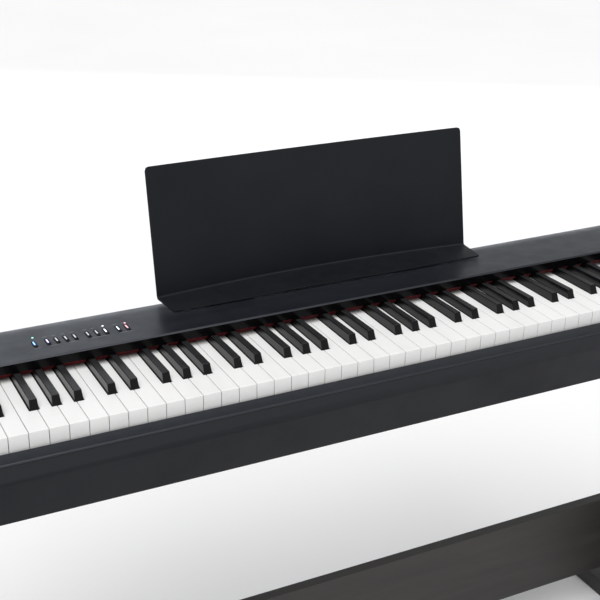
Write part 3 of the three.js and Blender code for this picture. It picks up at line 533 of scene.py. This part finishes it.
def model_sharp(centre):
    low, high = at(0, SHARP_FRONT, SHARP_BOTTOM), at(0, SHARP_BACK, SHARP_TOP)
    middle = Vector((centre, (low.y + high.y) / 2, (low.z + high.z) / 2))
    bpy.ops.mesh.primitive_cube_add(size=1, location=middle)
    key = bpy.context.active_object
    key.scale = (SHARP_BASE, high.y - low.y, high.z - low.z)
    settle(key)
    tail_z = at(0, 0, TAIL_TOP).z
    with editing(key):
        for z in (tail_z, KEY_TOP):
            bpy.ops.mesh.select_all(action="SELECT")
            bpy.ops.mesh.bisect(plane_co=(0, 0, z), plane_no=(0, 0, 1))
        pick_faces(key, lambda c, n: n.z > 0.9)
        bpy.ops.transform.resize(value=(SHARP_TAPER, 1, 1), center_override=middle)
        pick_points(key, lambda p: p.z > high.z - 1e-5 and p.y < low.y + 1e-5)
        bpy.ops.transform.translate(value=(0, SHARP_SLOPE * MM, 0))
        pick_points(key, lambda p: p.z > high.z - 1e-5 and p.y > high.y - 1e-5)
        bpy.ops.transform.translate(value=(0, 0, (SHARP_BACK_TOP - SHARP_TOP) * MM))
        pick_faces(key, lambda c, n: n.y > 0.9 and c.z < tail_z)
        extrude((0, (SHARP_TAIL - SHARP_BACK) * MM, 0))
    return key


# %% Round it and copy it along the keyboard
sharp_model = model_sharp(sharp_centre(0))
round_edges(sharp_model, 1.0 * MM, segments=4)
sharp_model.name = sharp_model.data.name = "sharp_A0"
sharps = [(0, sharp_model)]
for index in range(1, NATURAL_COUNT - 1):
    centre = sharp_centre(index)
    if centre is not None:
        name = f"sharp_{letter_of(index)}{(index + 5) // 7}"
        sharps.append((index, copy_of(sharp_model, name, (centre - sharp_centre(0), 0, 0))))
for index, key in sharps:
    body = body_of_key(index, "sharp")
    fix(key, body, black_key, "key_black", body)
    # The top faces get the grained finish whose lighter colour is a painted sheen.
    key.data.materials.append(black_key_top_painted_sheen)
    for face in key.data.polygons:
        face.material_index = int(face.normal.z > 0.9 and face.center.z > KEY_TOP)
print(f"{len(sharps)} black keys, {len(sharp_model.data.polygons)} faces each")

# %% [markdown]
# ## Moulded case pieces
#
# The panel, the tray, the rail in front of the keys and the end blocks already
# have their true shape in the frame. What a moulding adds is a small radius on
# every edge, which catches a line of light. A CAD node's own mesh stays as it
# is, so a copy is merged, its flat triangles are dissolved into whole faces, and
# the edges that are long enough to matter are bevelled.

# %% Copy a node and break its edges
def cleaned_copy(node, name):
    piece = bpy.data.objects.new(name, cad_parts[node].data.copy())
    bpy.context.scene.collection.objects.link(piece)
    with editing(piece, "VERT"):
        bpy.ops.mesh.remove_doubles(threshold=0.002 * MM)
        bpy.ops.mesh.dissolve_limited(angle_limit=math.radians(0.5), delimit=set())
    piece.data.materials.clear()
    return piece


def sharp_and_long(edge, shortest):
    return (edge.is_manifold and edge.calc_length() > shortest
            and edge.calc_face_angle(0) > math.radians(25))


def break_edges(piece, width, shortest):
    """Bevels the sharp edges that are longer than `shortest`."""
    with editing(piece, "EDGE"):
        pick_edges(piece, lambda e: sharp_and_long(e, shortest))
        bpy.ops.mesh.bevel(offset_type="OFFSET", offset=width, segments=3, profile=0.5,
                           affect="EDGES", clamp_overlap=True, miter_outer="ARC")
    return even_shading(smooth(piece))


def moulded(node, material, slot, width, shortest=4 * MM):
    piece = break_edges(cleaned_copy(node, f"{node}_shell"), width, shortest)
    return fix(piece, "cabinet", material, slot, node)


# %% Panel, tray, rail and end blocks
panel = moulded("top_panel", panel_paint, "panel", 0.5 * MM, shortest=12 * MM)
tray = moulded("bottom_case", case_paint, "case", 1.2 * MM, shortest=20 * MM)
moulded("keyslip", panel_paint, "case", 0.5 * MM)
for side in ("left", "right"):
    moulded(f"cheek_block_{side}", case_paint, "case", 1.2 * MM, shortest=2.6 * MM)
print(f"panel {len(panel.data.polygons)} faces, tray {len(tray.data.polygons)} faces")

# %% [markdown]
# The upright face above the keys is polished like a mirror while the panel that
# it belongs to is satin. It is one moulding with two finishes, so the face gets
# a second material slot on the same piece, picked by its direction and place.

# %% Gloss on the face above the keys
FACE_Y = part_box("top_panel")[0].y
FACE_TOP = KEY_TOP + 23.6 * MM
panel.data.materials.append(face_gloss)
gloss_faces = [face for face in panel.data.polygons
               if face.normal.y < -0.9 and face.center.y < FACE_Y + 1 * MM and face.center.z < FACE_TOP]
for face in gloss_faces:
    face.material_index = 1
print(f"{len(gloss_faces)} faces of the panel are glossy")

# %% [markdown]
# ## Felt behind the keys
#
# A strip of red felt closes the slit behind the visible keys. Felt is soft, so
# the strip is a fine grid with thickness whose surface is pushed in and out by
# a seeded noise texture. Its edges fray a little. The strip keeps inside the
# space of its CAD solid.

# %% Felt strips
fibres = bpy.data.textures.new("felt_fibres", "CLOUDS")
fibres.noise_scale = 1.6 * MM
fibres.noise_depth = 2


def felt_strip(node, name, material, slot, step, fuzz):
    low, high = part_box(node)
    size, middle = high - low, (low + high) / 2
    standing = size.y < size.z
    thickness, height = (size.y, size.z) if standing else (size.z, size.y)
    bpy.ops.object.select_all(action="DESELECT")
    bpy.ops.mesh.primitive_grid_add(
        x_subdivisions=int(size.x / step), y_subdivisions=max(4, round(height / MM)), size=1,
        location=middle, rotation=(math.radians(90) if standing else 0, 0, 0))
    strip = bpy.context.active_object
    strip.name = strip.data.name = name
    strip.scale = (size.x, height - 2 * fuzz, 1)
    settle(strip)
    body = strip.modifiers.new("thickness", "SOLIDIFY")
    body.thickness, body.offset = thickness - 2 * fuzz, 0
    bpy.ops.object.modifier_apply(modifier=body.name)
    push = strip.modifiers.new("fuzz", "DISPLACE")
    push.texture, push.strength, push.mid_level = fibres, 2 * fuzz, 0.5
    push.texture_coords = "LOCAL"
    bpy.ops.object.modifier_apply(modifier=push.name)
    smooth(strip, 60)
    return fix(strip, "cabinet", material, slot, node)


red_strip = felt_strip("key_felt", "red_felt_strip", red_wool, "red_felt", 1.5 * MM, 0.25 * MM)
felt_strip("key_stop_felt", "stop_felt_strip", green_wool, "red_felt", 4 * MM, 0.15 * MM)
print(f"red felt: {len(red_strip.data.polygons)} faces")

# %% [markdown]
# ## Turned pieces
#
# Buttons, sockets, screws and speaker cones are all rings of one profile. Spin
# would need its poles mended, so a disc is drawn out ring by ring instead: each
# extrude makes a new wall, and a resize about the axis sets its radius. The
# normals are recalculated once, since walls that go down turn inside out.

# %% Draw a profile out of a disc
def turned(name, centre, rings, sides=32, squeeze=1.0, turn=(0, 0, 0)):
    """Rings of (radius, height) in millimetres; the axis is Z before `turn`."""
    radius, height = rings[0]
    bpy.ops.object.select_all(action="DESELECT")
    bpy.ops.mesh.primitive_circle_add(
        vertices=sides, radius=radius * MM, fill_type="NGON", location=(0, 0, height * MM))
    piece = bpy.context.active_object
    piece.name = piece.data.name = name
    piece.scale = (1, squeeze, 1)
    settle(piece)
    with editing(piece):
        for next_radius, next_height in rings[1:]:
            extrude((0, 0, (next_height - height) * MM))
            ratio = next_radius / radius
            bpy.ops.transform.resize(value=(ratio, ratio, 1), center_override=(0, 0, 0))
            radius, height = next_radius, next_height
        bpy.ops.mesh.select_all(action="SELECT")
        bpy.ops.mesh.normals_make_consistent(inside=False)
    piece.rotation_euler = turn
    piece.location = centre
    return smooth(settle(piece), 40)


# %% [markdown]
# ## Panel buttons
#
# Each function button is a black pill with a shallow dish, and towards its back
# end a narrow window. On the buttons that are on, a lamp lights it from below;
# on the others its dim grey glow is a painted highlight. The pill starts as a
# plane whose corners are beveled into half circles, and it is extruded and inset.
# It is made flat and then laid on the front part of the panel, which slopes three
# degrees.

# %% Lay a flat piece on the sloping panel
PANEL_SLOPE = math.radians(3)
PANEL_EDGE_Y, PANEL_EDGE_Z = 130, 25.5
BUTTON_Y = 175.5
BUTTON_Z = PANEL_EDGE_Z - math.tan(PANEL_SLOPE) * (BUTTON_Y - PANEL_EDGE_Y)
BUTTON_WIDTH, BUTTON_PROUD, BUTTON_DEPTH = 5, 0.6, 9
BUTTON_LENGTH = 21
WINDOW_WIDTH, WINDOW_LENGTH, WINDOW_BEHIND = 1.9, 11.6, 3


def lay_on_panel(piece, x):
    place = Matrix.Translation(at(x, BUTTON_Y, BUTTON_Z))
    piece.matrix_world = place @ Matrix.Rotation(-PANEL_SLOPE, 4, "X")
    return settle(piece)


def pill(name, width, length, bottom, top, middle=(0, 0)):
    bpy.ops.object.select_all(action="DESELECT")
    bpy.ops.mesh.primitive_plane_add(size=1, location=(middle[0] * MM, middle[1] * MM, bottom * MM))
    piece = bpy.context.active_object
    piece.name = piece.data.name = name
    piece.scale = (width * MM, length * MM, 1)
    settle(piece)
    with editing(piece, "VERT"):
        bpy.ops.mesh.bevel(offset=min(width, length) * 0.49 * MM, segments=6, affect="VERTICES")
    with editing(piece):
        extrude((0, 0, (top - bottom) * MM))
    return piece


# %% Buttons with their windows
def model_button(name):
    cap = pill(name, BUTTON_WIDTH, BUTTON_LENGTH, -BUTTON_DEPTH, BUTTON_PROUD)
    with editing(cap):
        pick_faces(cap, lambda c, n: n.z > 0.9)
        bpy.ops.mesh.inset(thickness=0.35 * MM, depth=0)
        bpy.ops.mesh.inset(thickness=1.05 * MM, depth=-0.12 * MM)
        bpy.ops.mesh.inset(thickness=0.15 * MM, depth=-0.35 * MM)
    return smooth(cap, 50)


# Buttons 3 to 7 are off: their windows get the dim grey glow, a painted highlight.
emissive_finishes = [lamp_blue, lamp_violet, painted_glow_grey, painted_glow_grey, painted_glow_grey,
         painted_glow_grey, painted_glow_grey, lamp_white, lamp_white, lamp_red]
cap_model = window_model = None
for number, emissive_finish in enumerate(emissive_finishes, start=1):
    node = f"panel_button_{number}"
    low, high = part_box(node)
    x = (low.x + high.x) / 2 / MM
    if cap_model is None:
        cap = cap_model = lay_on_panel(model_button(f"button_cap_{number}"), x)
        glass = pill(f"button_window_{number}", WINDOW_WIDTH, WINDOW_LENGTH, -0.2, 0.42,
                     middle=(0, WINDOW_BEHIND))
        window = window_model = lay_on_panel(smooth(glass, 50), x)
        first_x = x
    else:
        shift = ((x - first_x) * MM, 0, 0)
        cap = copy_of(cap_model, f"button_cap_{number}", shift)
        window = copy_of(window_model, f"button_window_{number}", shift)
    fix(cap, node, button_plastic, "button", node)
    fix(window, node, emissive_finish, "button")
print("ten buttons with windows")

# %% Power button
power_low, power_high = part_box("power_button")
power_x = (power_low.x + power_high.x) / 2 / MM
power = turned("power_cap", (0, 0, 0), [
    (6.6, -9), (7, -8), (7, 0.2), (6.7, 0.6), (5.9, 0.6), (5.4, 0.25), (3.2, 0.05), (1.2, 0)], sides=40)
fix(lay_on_panel(power, power_x), "power_button", button_plastic, "button", "power_button")
# The power ring gets the same dim grey glow, a painted highlight.
ring = turned("power_ring", (0, 0, 0), [
    (2.7, 0), (2.7, 0.2), (2.5, 0.28), (2.2, 0.28), (2.0, 0.2), (2.0, 0.12), (0.4, 0.12)], sides=32)
fix(lay_on_panel(ring, power_x), "power_button", painted_glow_grey, "button")

# %% [markdown]
# Small indicator lamps stand behind three of the buttons: clear domes a few
# millimetres across. The captions beside the buttons are stood for by plain
# printed dashes, thin as ink, since their words belong to a maker.

# %% Indicator lamps and printed dashes
for number, (x, y, emissive_finish) in enumerate(
        [(-435.2, 198.0, lamp_green), (-343.5, 195.0, lamp_white), (-314.5, 191.5, lamp_red)], start=1):
    dome = turned(f"indicator_lamp_{number}", (0, (y - BUTTON_Y) * MM, 0), [
        (1.5, -2), (1.5, 0.1), (1.35, 0.45), (1.0, 0.75), (0.5, 0.9), (0.15, 0.93)], sides=20)
    fix(lay_on_panel(dome, x), "cabinet", emissive_finish, "panel")

button_x = [sum(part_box(f"panel_button_{n}")[i].x for i in (0, 1)) / 2 / MM for n in range(1, 11)]
DASH_WIDTH, DASH_BEHIND, DASH_BEFORE = 1.1, 18.2, -13.5
dashes = [(x, DASH_BEHIND, 6.0) for x in button_x[1:]]
dashes += [((button_x[a] + button_x[b]) / 2, DASH_BEFORE, length)
           for a, b, length in ((0, 0, 8), (1, 2, 14), (3, 4, 12), (5, 7, 24), (8, 9, 17))]
for number, (x, behind, length) in enumerate(dashes, start=1):
    dash = pill(f"print_dash_{number}", length, DASH_WIDTH, -0.05, 0.06, middle=(0, behind))
    fix(lay_on_panel(dash, x), "cabinet", print_ink, "panel")
print(f"{len(dashes)} printed dashes")

# %% [markdown]
# ## Music rest
#
# The rest is one painted sheet with a fold that bows backwards in the middle.
# Its curve is already a grid of quads cut into triangles, so the copy is merged
# and turned back to quads, not dissolved: dissolving would break the curve. A
# fine bevel rounds the cut edge of the sheet.

# %% Rest with rounded rim
def merged_copy(node, name):
    piece = bpy.data.objects.new(name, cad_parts[node].data.copy())
    bpy.context.scene.collection.objects.link(piece)
    with editing(piece, "VERT"):
        bpy.ops.mesh.remove_doubles(threshold=0.002 * MM)
        bpy.ops.mesh.tris_convert_to_quads(
            face_threshold=math.radians(40), shape_threshold=math.radians(60))
    return piece


rest = merged_copy("music_rest", "music_rest_sheet")
round_edges(rest, 0.6 * MM, segments=3, degrees=40)
smooth(rest, 40)
fix(rest, "music_rest", rest_paint, "rest", "music_rest")
print(f"rest: {len(rest.data.polygons)} faces")

# %% [markdown]
# ## Sockets
#
# The sockets sit in moulded plates: two for headphones under the left end, and
# three at the back for the pedal, the power and data. The plates keep their
# CAD shape with broken edges. Each round socket gets a plated collar drawn from
# a disc, which stops before the bottom of its hole.

# %% Socket plates and collars
moulded("jack_panel", socket_plastic, "jack_plastic", 0.4 * MM, shortest=3 * MM)
moulded("headphone_block", socket_plastic, "jack_plastic", 0.4 * MM, shortest=3 * MM)
collar = [(3.3, -9), (3.3, 0.05), (4.7, 0.05), (4.7, 0.5), (4.3, 0.9), (3.1, 0.9), (2.8, 0.5), (2.8, -8)]
jack_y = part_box("jack_panel")[1].y
phones_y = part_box("headphone_block")[0].y
sockets = [("pedal_collar", (0.327, jack_y), -48, 180), ("power_collar", (0.365, jack_y), -48, 180),
           ("phones_collar_1", (-0.635, phones_y), -40, 0), ("phones_collar_2", (-0.623, phones_y), -40, 0)]
for name, (x, y), z, about in sockets:
    turn = (math.radians(90), 0, math.radians(about))
    piece = turned(name, (x, y, at(0, 0, z).z), collar, sides=28, turn=turn)
    fix(piece, "cabinet", zinc, "stand_metal")
print("four socket collars")

# %% [markdown]
# ## Loudspeakers
#
# Two oval loudspeakers fire down through slots in the case floor. From below,
# a paper cone, a soft roll around it and a dust cap show between the slots, and
# above them are the basket and the magnet, so the whole profile is drawn.

# %% Speakers
for side in ("left", "right"):
    low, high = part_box(f"speaker_{side}")
    middle, radius = (low + high) / 2, (high.x - low.x) / 2 / MM
    height, squeeze = (high.z - low.z) / MM, (high.y - low.y) / (high.x - low.x)
    speaker = turned(f"speaker_{side}_driver", (middle.x, middle.y, low.z), [
        (radius * 0.42, height), (radius * 0.42, height - 14), (radius * 0.50, height - 14),
        (radius * 0.86, 6), (radius, 4), (radius, 0.4), (radius * 0.93, 0.4), (radius * 0.90, 1.6),
        (radius * 0.86, 0.7), (radius * 0.81, 0.7), (radius * 0.77, 1.8), (radius * 0.34, 14),
        (radius * 0.26, 10), (radius * 0.12, 7.6), (radius * 0.03, 7)], sides=48, squeeze=squeeze)
    fix(speaker, "cabinet", speaker_cloth, "speaker", f"speaker_{side}")
print("two drivers")

# %% [markdown]
# ## The board stand
#
# The stand is flat-pack furniture: two uprights on foot bars, a low back board
# and two folded brackets that the piano is screwed to. The boards get thin
# broken edges, as edge banding has, and plastic caps cover their bolts.

# %% Boards, feet and brackets
for side in ("left", "right"):
    moulded(f"stand_side_{side}", upright_foil, "stand_board", 0.8 * MM)
    moulded(f"stand_foot_{side}", foot_foil, "stand_board", 1.5 * MM)
    moulded(f"stand_bracket_{side}", bracket_coat, "stand_metal", 0.6 * MM, shortest=2 * MM)
moulded("stand_back_board", lengthwise_foil, "stand_board", 0.8 * MM)

# %% Bolt caps on the uprights
board_low, board_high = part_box("stand_back_board")
bolt_y = (board_low.y + board_high.y) / 2
cap_profile = [(7.5, 0), (7.5, 0.9), (6.9, 1.5), (4.2, 1.5), (3.8, 1.2), (0.6, 1.2)]
number = 0
for side, sign in (("left", -1), ("right", 1)):
    low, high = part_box(f"stand_side_{side}")
    outer_x = low.x if sign < 0 else high.x
    for z in (board_low.z + 30 * MM, board_high.z - 30 * MM):
        number += 1
        turn = (0, sign * math.radians(90), 0)
        piece = turned(f"bolt_cap_{number}", (outer_x, bolt_y, z), cap_profile, sides=28, turn=turn)
        fix(piece, "cabinet", socket_plastic, "stand_board")

# %% [markdown]
# The thumb screws have a knurled steel head. After the profile is drawn, every
# second vertical edge of the head is pulled in, which leaves the grip ridges.

# %% Thumb screws
screw_low, screw_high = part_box("thumb_screw_1")
screw_middle = (screw_low + screw_high) / 2
head, reach = (screw_high.x - screw_low.x) / 2 / MM, (screw_high.z - screw_low.z) / MM
KNURLS = 48
screw = turned("screw_1", (0, 0, 0), [
    (head * 0.45, 0.6), (head * 0.55, 0), (head * 0.90, 0), (head, 1.2), (head, 8.4), (head * 0.9, 9.9),
    (3.9, 9.9), (3.9, reach - 0.8), (3.1, reach)], sides=KNURLS)
with editing(screw, "EDGE"):
    pick_edges(screw, lambda e: e.calc_length() > 5 * MM
               and all(math.hypot(v.co.x, v.co.y) > (head - 0.3) * MM for v in e.verts)
               and round(math.atan2(e.verts[0].co.y, e.verts[0].co.x) / math.tau * KNURLS) % 2 == 0)
    bpy.ops.transform.resize(value=(0.95, 0.95, 1), center_override=(0, 0, 0))
screw.location = (screw_middle.x, screw_middle.y, screw_low.z)
settle(screw)
fix(screw, "cabinet", zinc, "stand_metal", "thumb_screw_1")
for number in (2, 3, 4):
    low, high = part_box(f"thumb_screw_{number}")
    name = f"screw_{number}"
    fix(copy_of(screw, name, (low + high) / 2 - screw_middle), "cabinet", zinc, "stand_metal",
        f"thumb_screw_{number}")
print(f"four thumb screws, {len(screw.data.polygons)} faces each")

# %% [markdown]
# ## Works inside the case
#
# The chassis, the boards and the rubber contact strip are hidden, and their CAD
# shapes are right as they are. They stay, and only get their finishes.

# %% Finishes for what stays from the frame
INSIDE = {
    "key_chassis": chassis_steel, "contact_board": circuit_green, "contact_rubber": contact_rubber,
    "panel_board": circuit_green, "main_board": circuit_green,
}
for node, material in INSIDE.items():
    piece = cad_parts[node]
    piece.data.materials.clear()
    piece.data.materials.append(material)
shown = [name for name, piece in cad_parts.items() if not piece.hide_render and name not in INSIDE]
print(f"nodes still shown with no finish of their own: {shown}")

# %% [markdown]
# ## Floor, light and camera
#
# The floor is one wide pale sheet. Its far edge is out of this camera's view, but
# a low view, near level, sees it and the grey sky. A broad overhead light, soft
# as through a big diffuser, lights the key tops more than the fronts, and the
# sky fills the shadows. Two soft boxes behind give the flat panel its sheen. A
# low strip behind adds to that, and shows most in the rolled rear edge of the
# panel. The camera stands to the player's left, a little above, and looks down.

# %% Floor
FLOOR_SIZE = 300
bpy.ops.object.select_all(action="DESELECT")
bpy.ops.mesh.primitive_plane_add(size=FLOOR_SIZE, location=(0, 0, -0.5 * MM))
floor = bpy.context.active_object
floor.name = "studio_floor"
floor_paper = finish_named(
    "studio_floor_paper", (0.90, 0.90, 0.90), (0.92, 0.92, 0.92), (0.75, 0.85),
    mottle=0.6, grain=40, bump=0.02)
floor.data.materials.append(floor_paper)

# %% Sky, top light and soft boxes
SKY_STRENGTH = 0.34
COOL_WHITE = (0.86, 0.92, 1.0)
world = bpy.data.worlds.new("studio_sky")
bpy.context.scene.world = world
world.use_nodes = True
world.node_tree.nodes["Background"].inputs["Color"].default_value = (1.0, 1.0, 1.0, 1)
world.node_tree.nodes["Background"].inputs["Strength"].default_value = SKY_STRENGTH


def hang_light(light, place, target, energy):
    light.energy = energy
    holder = bpy.data.objects.new(light.name, light)
    bpy.context.scene.collection.objects.link(holder)
    aim = (Vector(target) - Vector(place)).to_track_quat("-Z", "Y")
    holder.matrix_world = Matrix.Translation(place) @ aim.to_matrix().to_4x4()
    holder.visible_camera = False
    return holder


def soft_box(name, place, target, size, energy):
    light = bpy.data.lights.new(name, "AREA")
    light.color = COOL_WHITE
    light.shape, light.size, light.size_y = "RECTANGLE", *size
    return hang_light(light, place, target, energy)


top_light = bpy.data.lights.new("top_light", "SUN")
top_light.angle = math.radians(55)
hang_light(top_light, (-0.8, -1.5, 4.0), (0, 0, 0), 2.55)
soft_box("back_left_box", (0.2, 4.0, 2.0), (-0.4, 0, 0.75), (1.6, 1.2), 6)
soft_box("back_right_box", (4.6, 3.2, 2.0), (0.4, 0, 0.75), (1.5, 1.2), 2.5)
soft_box("rear_edge_strip", (2.4, 4.0, 0.95), (0, 0.1, 0.75), (5.2, 0.3), 18)

# %% Camera
CAMERA_PLACE = (-0.74735, -1.29868, 1.3927)
AZIMUTH, ELEVATION, ROLL = (math.radians(a) for a in (-26.75, 23.28, 0.70))
back = Vector((math.sin(AZIMUTH) * math.cos(ELEVATION), -math.cos(AZIMUTH) * math.cos(ELEVATION),
               math.sin(ELEVATION)))
level = Vector((math.cos(AZIMUTH), math.sin(AZIMUTH), 0))
upright = back.cross(level)
right = math.cos(ROLL) * level + math.sin(ROLL) * upright
axes = Matrix((right, back.cross(right), back)).transposed()
lens = bpy.data.cameras.new("studio_camera")
lens.lens, lens.sensor_width = 71.28, 36
lens.clip_start, lens.clip_end = 0.05, 200
camera = bpy.data.objects.new("studio_camera", lens)
bpy.context.scene.collection.objects.link(camera)
camera.matrix_world = Matrix.Translation(CAMERA_PLACE) @ axes.to_4x4()
bpy.context.scene.camera = camera
bpy.context.scene.view_settings.view_transform = "Standard"
